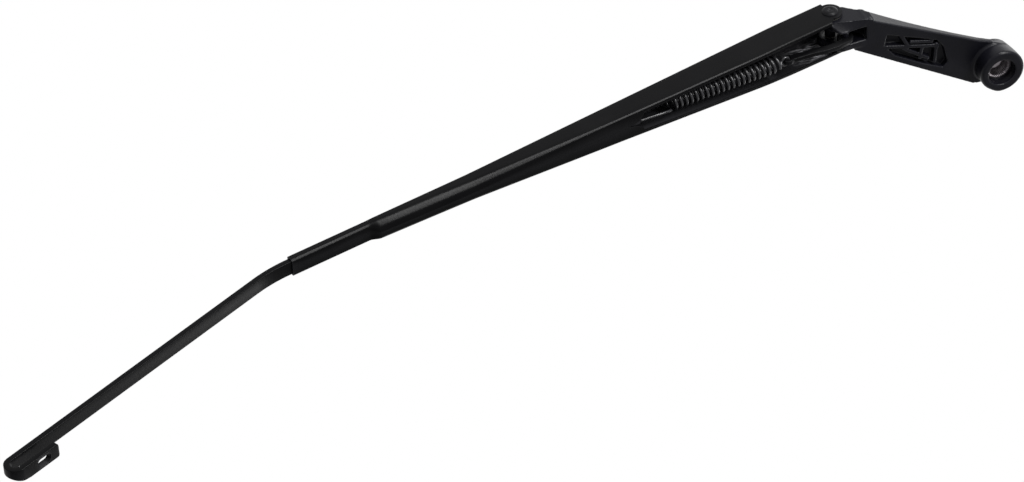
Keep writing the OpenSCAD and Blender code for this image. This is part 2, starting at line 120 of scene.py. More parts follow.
# from a tilted line's own millimetres to metres in the part's frame
def tilted(point, x0, z0, angle):
    x, y, z = point
    return Vector((x0 + x * cos(angle) + z * sin(angle), hinge["y"] + y,
                   z0 - x * sin(angle) + z * cos(angle))) / 1000


# from the arm's millimetres, with the origin on the hinge rivet, to metres
def onArm(point):
    return tilted(point, hinge["x"], hinge["z"], hinge["fold"])


# from the spring's millimetres, with the origin on the cross-bar, to metres
def onSpring(point):
    return tilted(point, springLine["x"], springLine["z"], springTilt)


def onPart(point):
    return Vector(point) / 1000


# for a piece turned about the hinge rivet
def onRivet(point):
    x, y, z = point
    return Vector((hinge["x"] + x, hinge["y"] + z, hinge["z"] + y)) / 1000


sharpAngle = 35  # degrees: an edge sharper than this stays crisp


def shadeSmooth(mesh, sharp=sharpAngle):
    mesh.shade_smooth()
    mesh.set_sharp_from_angle(angle=radians(sharp))


# makes an object from points and faces, with its faces turned outwards
def makePiece(name, points, faces, place, sharp=sharpAngle):
    mesh = bpy.data.meshes.new(name)
    mesh.from_pydata([place(p) for p in points], [], faces)
    piece = bpy.data.objects.new(name, mesh)
    bpy.context.scene.collection.objects.link(piece)
    shape = bmesh.new()
    shape.from_mesh(mesh)
    bmesh.ops.recalc_face_normals(shape, faces=shape.faces)
    shape.to_mesh(mesh)
    shape.free()
    shadeSmooth(mesh, sharp)
    return piece


# a copy of a CAD node's mesh, to be worked into a piece
def copyOfNode(node, name):
    piece = bpy.data.objects.new(name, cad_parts[node].data.copy())
    bpy.context.scene.collection.objects.link(piece)
    return piece


# faces between closed rings that have the same number of points
def ringFaces(rings, count):
    faces = []
    for k in range(rings - 1):
        for i in range(count):
            j = (i + 1) % count
            a = k * count
            faces.append((a + i, a + j, a + count + j, a + count + i))
    return faces


def applyAll(piece):
    shown = piece.evaluated_get(bpy.context.evaluated_depsgraph_get())
    mesh = bpy.data.meshes.new_from_object(shown)
    piece.modifiers.clear()
    piece.data = mesh


# cuts a piece with a solid, and takes the solid away again
def cutWith(piece, cutter):
    step = piece.modifiers.new("cut", "BOOLEAN")
    step.object = cutter
    step.operation = "DIFFERENCE"
    step.solver = "EXACT"
    applyAll(piece)
    bpy.data.objects.remove(cutter)
    shadeSmooth(piece.data)


# a solid drawn in x and z, and pulled along y from one value to another
def sidePlate(name, outline, low, high, place):
    n = len(outline)
    points = [(x, low, z) for x, z in outline] + [(x, high, z) for x, z in outline]
    faces = ringFaces(2, n) + [tuple(range(n)), tuple(range(2 * n - 1, n - 1, -1))]
    return makePiece(name, points, faces, place)


def circleOutline(x, z, radius, steps):
    angles = [2 * pi * k / steps for k in range(steps)]
    return [(x + radius * cos(q), z + radius * sin(q)) for q in angles]


# a ring turned about an axis: its profile's points are (radius, height).
# A radius may be a function of the angle.
def turned(name, profile, steps, place, sharp=sharpAngle):
    points = []
    for i in range(steps):
        angle = 2 * pi * i / steps
        for radius, height in profile:
            r = radius(angle) if callable(radius) else radius
            points.append((r * cos(angle), r * sin(angle), height))
    n = len(profile)
    faces = []
    for i in range(steps):
        a, b = i * n, ((i + 1) % steps) * n
        for k in range(n):
            faces.append((a + k, a + (k + 1) % n, b + (k + 1) % n, b + k))
    return makePiece(name, points, faces, place, sharp)


# rides on its body, takes its slot and finish, and stands for its node
def finishPiece(piece, body, material, node=None):
    piece.data.materials.clear()
    piece.data.materials.append(material)
    if node:
        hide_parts(node)
    if body:
        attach(piece, body)


def newMaterial(name):
    material = bpy.data.materials.new(name)
    material.use_nodes = True
    return material, material.node_tree.nodes["Principled BSDF"]


# what every powder coat here shares, with sizes in millimetres
coat = {
    "wornFrom": 0.53, "wornTo": 0.62, "speckle": 0.9,  # how convex an edge is where the coat rubs through
    "thin": "#242426",  # painted light: the channel's inner faces are painted a lighter grey, standing in for light that falls inside
    "scratched": "#b4b4b8", "scratch": 2.2, "scratchStretch": (0.35, 1.0, 1.3),
    "scratchFrom": 0.44, "scratchTo": 0.66,
    "smoother": 0.05, "rougher": 0.07,  # how far the roughness wanders either way
    "relief": 9,  # a wave or grain is a ninth as deep as it is wide
}


# black epoxy powder coat, sprayed on pressed steel and baked: soft satin sheen, faint orange peel
def powderCoat(name, finish):
    material, shader = newMaterial(name)
    tree = material.node_tree
    place = addNode(tree, "ShaderNodeTexCoord").outputs["Object"]
    patches = addNode(tree, "ShaderNodeTexNoise",
                      {"Vector": place, "Scale": perMetre(finish["patch"]), "Detail": 3.0})
    colour = addNode(tree, "ShaderNodeMix", {"Factor": patches.outputs["Fac"], "A": hexColour(finish["dark"]),
                                             "B": hexColour(finish["light"])}, data_type="RGBA")
    convex = addNode(tree, "ShaderNodeNewGeometry").outputs["Pointiness"]
    edges = addNode(tree, "ShaderNodeMapRange", {"Value": convex, "From Min": coat["wornFrom"],
                                                 "From Max": coat["wornTo"], "To Max": finish["edgeWear"]})
    speckle = addNode(tree, "ShaderNodeTexNoise",
                      {"Vector": place, "Scale": perMetre(coat["speckle"]), "Detail": 4.0})
    worn = addNode(tree, "ShaderNodeMath", {0: edges.outputs["Result"], 1: speckle.outputs["Fac"]},
                   operation="MULTIPLY")
    outside = addNode(tree, "ShaderNodeMix", {"Factor": worn.outputs["Value"], "A": colour.outputs["Result"],
                                              "B": hexColour(finish["rubbed"])}, data_type="RGBA")
    # painted light: the sheet's inner side, marked by its attribute, is mixed towards a lighter grey
    hidden = addNode(tree, "ShaderNodeAttribute", attribute_name="inside")
    coated = addNode(tree, "ShaderNodeMix", {"Factor": hidden.outputs["Fac"], "A": outside.outputs["Result"],
                                             "B": hexColour(coat["thin"])}, data_type="RGBA")
    # where the spring's link has rubbed by the hinge, bright scratches cross the wall
    rubbed = addNode(tree, "ShaderNodeAttribute", attribute_name="scuffed")
    drawn = addNode(tree, "ShaderNodeMapping", {"Vector": place, "Scale": coat["scratchStretch"]})
    scratches = addNode(tree, "ShaderNodeTexNoise", {"Vector": drawn.outputs["Vector"],
                                                     "Scale": perMetre(coat["scratch"]), "Detail": 4.0})
    bright = addNode(tree, "ShaderNodeMapRange", {"Value": scratches.outputs["Fac"],
                                                  "From Min": coat["scratchFrom"],
                                                  "From Max": coat["scratchTo"]})
    scuff = addNode(tree, "ShaderNodeMath", {0: bright.outputs["Result"], 1: rubbed.outputs["Fac"]},
                    operation="MULTIPLY")
    marked = addNode(tree, "ShaderNodeMix", {"Factor": scuff.outputs["Value"], "A": coated.outputs["Result"],
                                             "B": hexColour(coat["scratched"])}, data_type="RGBA")
    tree.links.new(marked.outputs["Result"], shader.inputs["Base Color"])
    rough = addNode(tree, "ShaderNodeMapRange", {"Value": patches.outputs["Fac"],
                                                 "To Min": finish["rough"] - coat["smoother"],
                                                 "To Max": finish["rough"] + coat["rougher"]})
    tree.links.new(rough.outputs["Result"], shader.inputs["Roughness"])
    peel = addNode(tree, "ShaderNodeTexNoise",
                   {"Vector": place, "Scale": perMetre(finish["peel"]), "Detail": 2.0})
    grain = addNode(tree, "ShaderNodeTexNoise",
                    {"Vector": place, "Scale": perMetre(finish["grain"]), "Detail": 2.0})
    coarse = addNode(tree, "ShaderNodeBump", {"Height": peel.outputs["Fac"], "Strength": finish["peelDepth"],
                                              "Distance": finish["peel"] / coat["relief"] / 1000})
    fine = addNode(tree, "ShaderNodeBump", {"Height": grain.outputs["Fac"], "Strength": finish["grainDepth"],
                                            "Distance": finish["grain"] / coat["relief"] / 1000,
                                            "Normal": coarse.outputs["Normal"]})
    tree.links.new(fine.outputs["Normal"], shader.inputs["Normal"])
    shader.inputs["Specular IOR Level"].default_value = finish["gloss"]
    return material


# sizes in millimetres: patch, peel and grain are as wide as one blotch, wave or grain of the coat.
# The real grain is about 0.1 mm, and is drawn coarser so that it shows.
sheetFinish = {"dark": "#040405", "light": "#09090a", "rubbed": "#3c3c3f", "rough": 0.28, "gloss": 0.06,
               "patch": 24, "peel": 1.6, "peelDepth": 0.20, "grain": 0.5, "grainDepth": 0.25, "edgeWear": 0.5}
barFinish = {"dark": "#050506", "light": "#0a0a0b", "rubbed": "#48484b", "rough": 0.30, "gloss": 0.05,
             "patch": 18, "peel": 1.4, "peelDepth": 0.20, "grain": 0.5, "grainDepth": 0.25, "edgeWear": 0.6}
# the casting's skin is sand-blasted before the coat, so its grain is deeper and slightly blue
castFinish = {"dark": "#07070b", "light": "#0e0e14", "rubbed": "#55555c", "rough": 0.36, "gloss": 0.15,
              "patch": 14, "peel": 1.8, "peelDepth": 0.35, "grain": 0.6, "grainDepth": 0.5, "edgeWear": 0.7}
rivetFinish = {"dark": "#08080a", "light": "#101012", "rubbed": "#4c4c50", "rough": 0.34, "gloss": 0.10,
               "patch": 5, "peel": 0.9, "peelDepth": 0.2, "grain": 0.4, "grainDepth": 0.3, "edgeWear": 0.8}
# patented and dipped spring wire: greyer and glossier than the sheet
springFinish = {"dark": "#111113", "light": "#1a1a1c", "rubbed": "#6a6a6e", "rough": 0.28, "gloss": 0.42,
                "patch": 6, "peel": 0.8, "peelDepth": 0.15, "grain": 0.4, "grainDepth": 0.3, "edgeWear": 0.4}
powderCoatSheet = powderCoat("powderCoatedSheet", sheetFinish)
powderCoatBar = powderCoat("powderCoatedBar", barFinish)
powderCoatCast = powderCoat("powderCoatedCasting", castFinish)
coatedRivet = powderCoat("coatedRivetHead", rivetFinish)
coatedWire = powderCoat("coatedSpringWire", springFinish)

# widths in millimetres; the rings' pattern is stretched across the axis, so that it changes along it
steelFinish = {"dark": "#5b5759", "light": "#858084", "stain": 4, "smoothest": 0.28, "roughest": 0.48,
               "ring": 0.25, "ringStretch": (0.05, 0.05, 1.0), "ringDepth": 0.3, "ringHeight": 0.04}


# bare free-cutting steel, turned and broached: fine rings round the axis and a grey, slightly warm metal
def turnedSteel(finish):
    material, shader = newMaterial("turnedSteel")
    tree = material.node_tree
    shader.inputs["Metallic"].default_value = 1.0
    place = addNode(tree, "ShaderNodeTexCoord").outputs["Object"]
    stretched = addNode(tree, "ShaderNodeMapping", {"Vector": place, "Scale": finish["ringStretch"]})
    rings = addNode(tree, "ShaderNodeTexNoise", {"Vector": stretched.outputs["Vector"],
                                                 "Scale": perMetre(finish["ring"]), "Detail": 3.0})
    stains = addNode(tree, "ShaderNodeTexNoise",
                     {"Vector": place, "Scale": perMetre(finish["stain"]), "Detail": 4.0})
    colour = addNode(tree, "ShaderNodeMix", {"Factor": stains.outputs["Fac"], "A": hexColour(finish["dark"]),
                                             "B": hexColour(finish["light"])}, data_type="RGBA")
    tree.links.new(colour.outputs["Result"], shader.inputs["Base Color"])
    rough = addNode(tree, "ShaderNodeMapRange", {"Value": rings.outputs["Fac"], "To Min": finish["smoothest"],
                                                 "To Max": finish["roughest"]})
    tree.links.new(rough.outputs["Result"], shader.inputs["Roughness"])
    bump = addNode(tree, "ShaderNodeBump", {"Height": rings.outputs["Fac"], "Strength": finish["ringDepth"],
                                            "Distance": finish["ringHeight"] / 1000})
    tree.links.new(bump.outputs["Normal"], shader.inputs["Normal"])
    return material


# cloud and grain are as wide as one cloud or grain, in millimetres
acetalFinish = {"dark": "#3a3936", "light": "#4a4844", "rough": 0.42, "cloud": 5, "grain": 0.5,
                "grainDepth": 0.25, "grainHeight": 0.05}


# moulded acetal, coloured dark grey: a waxy plastic, warm in tone, with a faint mould grain
def mouldedAcetal(finish):
    material, shader = newMaterial("mouldedAcetal")
    tree = material.node_tree
    place = addNode(tree, "ShaderNodeTexCoord").outputs["Object"]
    clouds = addNode(tree, "ShaderNodeTexNoise",
                     {"Vector": place, "Scale": perMetre(finish["cloud"]), "Detail": 3.0})
    colour = addNode(tree, "ShaderNodeMix", {"Factor": clouds.outputs["Fac"], "A": hexColour(finish["dark"]),
                                             "B": hexColour(finish["light"])}, data_type="RGBA")
    tree.links.new(colour.outputs["Result"], shader.inputs["Base Color"])
    shader.inputs["Roughness"].default_value = finish["rough"]
    grain = addNode(tree, "ShaderNodeTexNoise",
                    {"Vector": place, "Scale": perMetre(finish["grain"]), "Detail": 2.0})
    bump = addNode(tree, "ShaderNodeBump", {"Height": grain.outputs["Fac"], "Strength": finish["grainDepth"],
                                            "Distance": finish["grainHeight"] / 1000})
    tree.links.new(bump.outputs["Normal"], shader.inputs["Normal"])
    return material


steel = turnedSteel(steelFinish)
acetal = mouldedAcetal(acetalFinish)
print("materials made")

# pressed channel: one sheet, open at the hinge, folded shut further out and crimped round the bar.
# Millimetres on the arm; where there are two radii, they are the far wall's and the near wall's.
channel = {
    "crown": 10.9, "sheet": 1.1,
    "rootWidth": 25.8, "neckWidth": 13.0, "narrowFrom": 40, "narrowTo": 276,
    "rootDepth": 21.8, "neckDepth": 9.2, "shallowFrom": 60, "farDeeper": 2.2,
    "openEnd": 166, "foldLen": 14, "hem": 0.8, "slit": 0.12, "closing": 160,
    "crimpStart": 352, "crimpLen": 56, "crimpStep": 7, "crimpWidth": 12.0, "crimpDepth": 6.0,
    "topRadius": 1.5, "openRadius": 1.7, "floorRadius": (3.4, 6.4), "crimpRadius": (1.0, 2.6),
    "openBulge": 0.34, "shutBulge": 0.05, "lipCurve": ((0.18, 0.75), (0.5, 1.0), (0.82, 0.75)),
    "arcSteps": 9, "wallSteps": 4, "openPitch": 7.0, "openSteps": 20, "foldSteps": 28, "runSteps": 26,
    "crimpSteps": 10, "noseSteps": 8, "noseEdge": 0.4,
    "cheek": 8.0, "cutAway": 1, "rivetHole": 3.5, "holeSteps": 40,
}
lipCount = len(channel["lipCurve"])
foldFrom = channel["openEnd"] - channel["foldLen"]
crimpFrom = channel["crimpStart"] - channel["crimpStep"]


# one section of the sheet at x, as a closed ring: outer side, rounded lip, inner side, rounded lip
def channelRing(x):
    crimped = ease((x - crimpFrom) / channel["crimpStep"])
    narrowed = (x - channel["narrowFrom"]) / (channel["narrowTo"] - channel["narrowFrom"])
    shallower = (x - channel["shallowFrom"]) / (channel["crimpStart"] - channel["shallowFrom"])
    width = mix(mix(channel["rootWidth"], channel["neckWidth"], narrowed), channel["crimpWidth"], crimped)
    depth = mix(mix(channel["rootDepth"], channel["neckDepth"], shallower), channel["crimpDepth"], crimped)
    folded = min(1, max(0, (x - foldFrom) / channel["foldLen"]))
    closing = ease((x - foldFrom) / channel["closing"])
    top = mix(channel["topRadius"], channel["crimpRadius"][0], crimped)
    half = width / 2
    steps = channel["arcSteps"]

    # one wall from the crown down to its lip, as y, z and the direction that faces outwards
    def wall(far):
        low = mix(mix(channel["openRadius"], channel["floorRadius"][1 - far], closing),
                  channel["crimpRadius"][1 - far], crimped)
        floor = mix(channel["hem"], half - low - channel["slit"] / 2, sqrt(max(0, 1 - (1 - folded) ** 2)))
        start = channel["crown"] - depth + low - far * mix(channel["farDeeper"], 0, x / channel["openEnd"])
        side = []
        for i in range(steps + 1):
            q = radians(90) * (1 - i / steps)
            side.append((half - top + top * cos(q), channel["crown"] - top + top * sin(q), cos(q), sin(q)))
        for k in range(1, channel["wallSteps"]):
            side.append((half, mix(channel["crown"] - top, start, k / channel["wallSteps"]), 1.0, 0.0))
        for i in range(steps + 1):
            q = radians(90) * i / steps
            side.append((half - low * (1 - cos(q)), start - low * sin(q), cos(q), -sin(q)))
        return side + [(half - low - floor, start - low, 0.0, -1.0)]

    near, distant = wall(0), wall(1)
    outer = near[::-1] + [(-y, z, -ny, nz) for y, z, ny, nz in distant]
    sheet = channel["sheet"]
    bulge = sheet * mix(channel["openBulge"], channel["shutBulge"], folded)

    def lip(side):
        y, z = (near if side > 0 else distant)[-1][:2]
        return [(x, side * (y - bulge * reach), z + sheet * share) for share, reach in channel["lipCurve"]]

    ring = [(x, y, z) for y, z, ny, nz in outer]
    ring += lip(-1)
    ring += [(x, y - sheet * ny, z - sheet * nz) for y, z, ny, nz in reversed(outer)]
    ring += reversed(lip(1))
    return ring


# from behind the cheeks to the nose: stations lie close together where the form changes
def channelStations():
    rearPart = [-channel["cheek"] - channel["cutAway"]]
    rearPart += [k * channel["openPitch"] for k in range(1, channel["openSteps"] + 1)]
    fold = [foldFrom + channel["foldLen"] * k / channel["foldSteps"] for k in range(channel["foldSteps"] + 1)]
    run = [channel["openEnd"] + (crimpFrom - channel["openEnd"]) * k / channel["runSteps"]
           for k in range(1, channel["runSteps"] + 1)]
    crimp = [crimpFrom + channel["crimpStep"] * k / channel["crimpSteps"]
             for k in range(1, channel["crimpSteps"] + 1)]
    nose = [channel["crimpStart"] + (channel["crimpLen"] - channel["noseEdge"]) * k / channel["noseSteps"]
            for k in range(1, channel["noseSteps"] + 1)]
    return rearPart + fold + run + crimp + nose + [channel["crimpStart"] + channel["crimpLen"]]


# faces that close the sheet's cut edge at one end, from the outer side to the inner one
def sheetEnd(first, count):
    outerCount = count // 2 - lipCount
    faces = []
    for i in range(outerCount - 1):
        mate = 2 * outerCount + lipCount - 1 - i
        faces.append((first + i, first + i + 1, first + mate - 1, first + mate))
    faces.append(tuple(first + outerCount + k for k in range(-1, lipCount + 1)))
    faces.append((first,) + tuple(first + count - k for k in range(1, lipCount + 2)))
    return faces


rings = [channelRing(x) for x in channelStations()]
ringCount = len(rings[0])
sheetFaces = ringFaces(len(rings), ringCount)
for first in (0, (len(rings) - 1) * ringCount):
    sheetFaces += sheetEnd(first, ringCount)
channelSheet = makePiece("channelSheet", [p for ring in rings for p in ring], sheetFaces, onArm)

# marks for the coat: the inner side of the sheet, painted lighter as painted light, and the far wall's scuffs
# by the hinge
scuffing = {"end": 34, "fade": 14, "side": -9, "height": 9, "heightFade": 5}
inside = channelSheet.data.attributes.new("inside", "FLOAT", "POINT")
scuffed = channelSheet.data.attributes.new("scuffed", "FLOAT", "POINT")
for i, (x, y, z) in enumerate(p for ring in rings for p in ring):
    within = ringCount // 2 <= i % ringCount < ringCount - lipCount
    inside.data[i].value = 1.0 if within else 0.0
    height = (ease((z + scuffing["height"]) / scuffing["heightFade"])
              * ease((scuffing["height"] - z) / scuffing["heightFade"]))
    nearHinge = ease((scuffing["end"] - x) / scuffing["fade"])
    scuffed.data[i].value = nearHinge * height if within and y < scuffing["side"] else 0.0

# the rear end: round cheeks about the rivet, a near edge that slants forward and a far one that hangs down
rear = {"behind": -30, "ahead": 40, "above": 40, "below": -50, "reach": 20,
        "arcFrom": 90, "arcTo": 289.7, "arcSteps": 40, "farArc": 19,
        "nearEdge": [(7.0, -11.2), (40, -39.4)], "farEdge": [(-7.4, -6.5), (-6.6, -10.2), (-4.2, -13.6)]}
cheekArc = []
for k in range(rear["arcSteps"] + 1):
    q = radians(mix(rear["arcFrom"], rear["arcTo"], k / rear["arcSteps"]))
    cheekArc.append((channel["cheek"] * cos(q), channel["cheek"] * sin(q)))
rearTop = [(rear["behind"], rear["above"]), (0, rear["above"])]
nearOutline = (rearTop + cheekArc + rear["nearEdge"]
               + [(rear["ahead"], rear["below"]), (rear["behind"], rear["below"])])
cutWith(channelSheet, sidePlate("nearRearCutter", nearOutline, 0, rear["reach"], onArm))
farOutline = (rearTop + cheekArc[:rear["farArc"]] + rear["farEdge"]
              + [(rear["farEdge"][-1][0], rear["below"]), (rear["behind"], rear["below"])])
cutWith(channelSheet, sidePlate("farRearCutter", farOutline, -rear["reach"], 0, onArm))
rivetHole = circleOutline(0, 0, channel["rivetHole"], channel["holeSteps"])
cutWith(channelSheet, sidePlate("holeCutter", rivetHole, -rear["reach"], rear["reach"], onArm))

# the lug that holds the spring's tail: its foot is in the crown, and its rim is drawn from the eye's middle
lug = {"x": 156.6, "z": -3.0, "half": 1.0, "eye": 1.9, "eyeSteps": 24, "eyeReach": 5,
       "foot": (-3, 9), "sunk": 0.9, "rim": ((4.5, -2.6), (2, -3), (-2, -3), (-4, -1.5))}
lugOutline = ([(lug["x"] + dx, channel["crown"] - lug["sunk"]) for dx in lug["foot"]]
              + [(lug["x"] + dx, lug["z"] + dz) for dx, dz in lug["rim"]])
springLug = sidePlate("springLug", lugOutline, -lug["half"], lug["half"], onArm)
eyeOutline = circleOutline(lug["x"], lug["z"], lug["eye"], lug["eyeSteps"])
cutWith(springLug, sidePlate("eyeCutter", eyeOutline, -lug["eyeReach"], lug["eyeReach"], onArm))
finishPiece(springLug, "arm", powderCoatSheet)
finishPiece(channelSheet, "arm", powderCoatSheet, "arm_channel")
print("channel made")

# flat bar: bent towards the glass and folded back into the hook, where it is slimmer on its far side
bar = {"width": 9.8, "thick": 3.8, "edge": 0.4, "edgeSteps": 4, "play": 0.05, "hidden": 70, "lead": 1.5,
       "bend": 14.35, "bendRadius": 105, "bendSteps": 16, "run": 209.8, "leadSteps": 4, "runSteps": 10,
       "hookRadius": 5.45, "hookSteps": 36, "leg": 28, "legSteps": 6, "corner": 1.4, "cornerSteps": 8,
       "neck": 4.0, "neckLead": 8.0, "neckTail": 4.5,
       "slotLen": 11, "slotWidth": 5.6, "slotBack": 12, "slotReach": 2.6, "slotSteps": 12}


def barSection(halfWidth):
    ring = []
    for side, face, startAngle in ((1, 1, 0), (-1, 1, 90), (-1, -1, 180), (1, -1, 270)):
        for k in range(bar["edgeSteps"] + 1):
            q = radians(startAngle + 90 * k / bar["edgeSteps"])
            ring.append((side * (halfWidth - bar["edge"]) + bar["edge"] * cos(q),
                         face * (bar["thick"] / 2 - bar["edge"]) + bar["edge"] * sin(q)))
    return ring


# stations along the bar: x, z, the angle it has turned by, and half its width
def barPath():
    x = channel["crimpStart"] + channel["crimpLen"] - bar["hidden"]
    z = channel["crown"] - channel["sheet"] - bar["play"] - bar["thick"] / 2
    angle = 0.0
    half = bar["width"] / 2
    path = [(x, z, angle, half)]

    def straight(length, steps, widths=None):
        nonlocal x, z
        for k in range(1, steps + 1):
            x += length / steps * cos(angle)
            z -= length / steps * sin(angle)
            path.append((x, z, angle, widths[k - 1] if widths else half))

    def arc(radius, turn, steps):
        nonlocal x, z, angle
        step = radians(turn) / steps
        chord = 2 * radius * sin(step / 2)
        for k in range(steps):
            x += chord * cos(angle + step / 2)
            z -= chord * sin(angle + step / 2)
            angle += step
            path.append((x, z, angle, half))

    straight(bar["hidden"] + bar["lead"], bar["leadSteps"])
    arc(bar["bendRadius"], bar["bend"], bar["bendSteps"])
    straight(bar["run"], bar["runSteps"])
    arc(bar["hookRadius"], 180, bar["hookSteps"])
    hookEnd = (x, z, angle)
    corner, steps = bar["corner"], bar["cornerSteps"]
    straight(bar["leg"] - corner, bar["legSteps"])
    rounded = [half - corner + sqrt(max(0, corner ** 2 - (corner * k / steps) ** 2))
               for k in range(1, steps + 1)]
    straight(corner, steps, rounded)
    return path, hookEnd


path, hookEnd = barPath()
travelled = [0.0]
for before, after in zip(path, path[1:]):
    travelled.append(travelled[-1] + hypot(after[0] - before[0], after[1] - before[1]))
beforeFold = [far for far, station in zip(travelled, path) if station[2] < radians(bar["bend"] + 1)]
neckFrom = beforeFold[-1] - bar["neckLead"]
neckLen = bar["neckLead"] + pi * bar["hookRadius"] + bar["neckTail"]
points = []
for (x, z, angle, half), far in zip(path, travelled):
    neck = bar["neck"] * sin(pi * min(1, max(0, (far - neckFrom) / neckLen))) ** 2
    for y, t in barSection(half):
        points.append((x + t * sin(angle), max(y, -half + neck) if y < 0 else y, z + t * cos(angle)))
sectionCount = len(barSection(bar["width"] / 2))
ends = [tuple(range(sectionCount)), tuple(range((len(path) - 1) * sectionCount, len(path) * sectionCount))]
flatBar = makePiece("flatBar", points, ringFaces(len(path), sectionCount) + ends, onArm)

# the slot in the return leg, cut with a solid that has round ends
hookX, hookZ, hookAngle = hookEnd
slotMiddle = bar["leg"] - bar["slotBack"]
slotRound = bar["slotWidth"] / 2
slotOutline = []
for side in (1, -1):
    for k in range(bar["slotSteps"] + 1):
        q = radians(-90 + 180 * k / bar["slotSteps"]) + (0 if side > 0 else pi)
        slotOutline.append((slotMiddle + side * (bar["slotLen"] / 2 - slotRound) + slotRound * cos(q),
                            slotRound * sin(q)))
slotPoints = []
for t in (-bar["slotReach"], bar["slotReach"]):
    for d, y in slotOutline:
        slotPoints.append((hookX + d * cos(hookAngle) + t * sin(hookAngle), y,
                           hookZ - d * sin(hookAngle) + t * cos(hookAngle)))
n = len(slotOutline)
slotFaces = ringFaces(2, n) + [tuple(range(n)), tuple(range(n, 2 * n))]
cutWith(flatBar, makePiece("slotCutter", slotPoints, slotFaces, onArm))
finishPiece(flatBar, "arm", powderCoatBar, "arm_rod")
print("bar and hook made")

# tension spring: front loop, coils and tail loop. Start and end are the coils' axis, on the spring's line.
spring = {"coil": 5.9, "wire": 1.0, "turns": 21, "start": (51.6, 1.2), "end": (130.7, 3.6),
          "loop": 2.8, "linkLen": 43.0, "play": 0.2, "loopFrom": 20, "loopTurn": 340,
          "tailLoop": 2.2, "tailEnd": (155.8, 0.0), "tailAngle": 217, "tailFrom": 270, "tailTurn": 230,
          "pull": 3.0, "tailPull": 6.0, "lowest": 270,
          "sides": 12, "sharp": 60, "coilSteps": 30, "loopSteps": 44, "leadSteps": 14}


# the middle of the wire, from the front loop to the tail loop
def springPath():
    mean = spring["coil"] - spring["wire"]

    def loop(centre, height, radius, startAngle, turn):
        line = []
        for k in range(spring["loopSteps"] + 1):
            q = radians(startAngle + turn * k / spring["loopSteps"])
            line.append(Vector((centre + radius * cos(q), radius * sin(q), height)))
        return line

    # a smooth curve from a to b, which leaves along one pull and arrives along the other
    def lead(a, b, pullA, pullB):
        c, d = a + pullA, b - pullB
        line = []
        for k in range(1, spring["leadSteps"]):
            t = k / spring["leadSteps"]
            line.append((1 - t) ** 3 * a + 3 * t * (1 - t) ** 2 * c + 3 * t * t * (1 - t) * d + t ** 3 * b)
        return line

    frontMiddle = spring["linkLen"] + spring["loop"] - spring["play"]
    front = loop(frontMiddle, 0, spring["loop"], spring["loopFrom"], spring["loopTurn"])
    total = round((spring["turns"] + (spring["tailAngle"] - spring["lowest"]) / 360) * spring["coilSteps"])
    (x0, z0), (x1, z1) = spring["start"], spring["end"]
    coils = []
    for k in range(total + 1):
        q = radians(spring["lowest"]) + 2 * pi * k / spring["coilSteps"]
        coils.append(Vector((mix(x0, x1, k / total), mean * cos(q), mix(z0, z1, k / total) + mean * sin(q))))
    tail = loop(*spring["tailEnd"], spring["tailLoop"], spring["tailFrom"], spring["tailTurn"])
    side = Vector((0, spring["pull"], 0))
    onward = Vector((spring["tailPull"], 0, 0))
    swing = (coils[-1] - coils[-2]).normalized() * spring["pull"]
    return (front + lead(front[-1], coils[0], side, side) + coils
            + lead(coils[-1], tail[0], swing + onward / 2, onward) + tail)


# a round wire along a line of points, with its section carried along without twist
def sweepWire(name, line, radius, sides, sharp, place):
    points = []
    side = Vector((0.3, 0.5, 0.8))  # any direction that the wire doesn't start in
    for i, p in enumerate(line):
        onward = (line[min(i + 1, len(line) - 1)] - line[max(i - 1, 0)]).normalized()
        side = (side - onward * side.dot(onward)).normalized()
        across = onward.cross(side)
        for k in range(sides):
            q = 2 * pi * k / sides
            points.append(p + radius * (cos(q) * side + sin(q) * across))
    last = (len(line) - 1) * sides
    caps = [tuple(range(sides)), tuple(range(last, last + sides))]
    return makePiece(name, points, ringFaces(len(line), sides) + caps, place, sharp)


springCoil = sweepWire("springCoil", springPath(), spring["wire"], spring["sides"], spring["sharp"], onSpring)
finishPiece(springCoil, None, coatedWire, "tension_spring")
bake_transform(springCoil)
print("spring made")

# spring link: its solid's shape with the edges broken; weld and edge are in millimetres
link = {"weld": 0.01, "edge": 0.3, "edgeSteps": 2, "flatBelow": 1, "bevelAbove": 40}
springLink = copyOfNode("spring_link", "springLink")
shape = bmesh.new()
shape.from_mesh(springLink.data)
bmesh.ops.remove_doubles(shape, verts=shape.verts, dist=link["weld"] / 1000)
bmesh.ops.dissolve_limit(shape, angle_limit=radians(link["flatBelow"]), verts=shape.verts, edges=shape.edges)
shape.to_mesh(springLink.data)
shape.free()
step = springLink.modifiers.new("broken edges", "BEVEL")
step.width = link["edge"] / 1000
step.segments = link["edgeSteps"]
step.limit_method = "ANGLE"
step.angle_limit = radians(link["bevelAbove"])
applyAll(springLink)
shadeSmooth(springLink.data)
finishPiece(springLink, "link", powderCoatBar, "spring_link")

# hinge rivet: a shank with a domed, dished head at each end. The dome is drawn from the head's rim inwards
# and the dish from its own edge, both as (inwards, upwards).
rivet = {"shank": 3.5, "head": 5.3, "half": 12.9, "high": 1.6, "dish": 1.6, "steps": 64,
         "dome": ((0, 0), (0, 0.35), (0.25, 0.8), (0.8, 1.2), (1.7, 1.52)),
         "dishRim": 0.5, "dishEdge": 0.12, "dishInner": 0.6, "dishWall": 0.55, "dishFloor": 0.7,
         "centre": 0.0001}


def rivetProfile():
    base, top = rivet["half"], rivet["half"] + rivet["high"]
    side = [(rivet["shank"], base)]
    side += [(rivet["head"] - inward, base + rise) for inward, rise in rivet["dome"]]
    side += [(rivet["dish"] + rivet["dishRim"], top), (rivet["dish"], top - rivet["dishEdge"]),
             (rivet["dish"] * rivet["dishInner"], top - rivet["dishWall"]),
             (rivet["centre"], top - rivet["dishFloor"])]
    return [(radius, -height) for radius, height in reversed(side)] + side


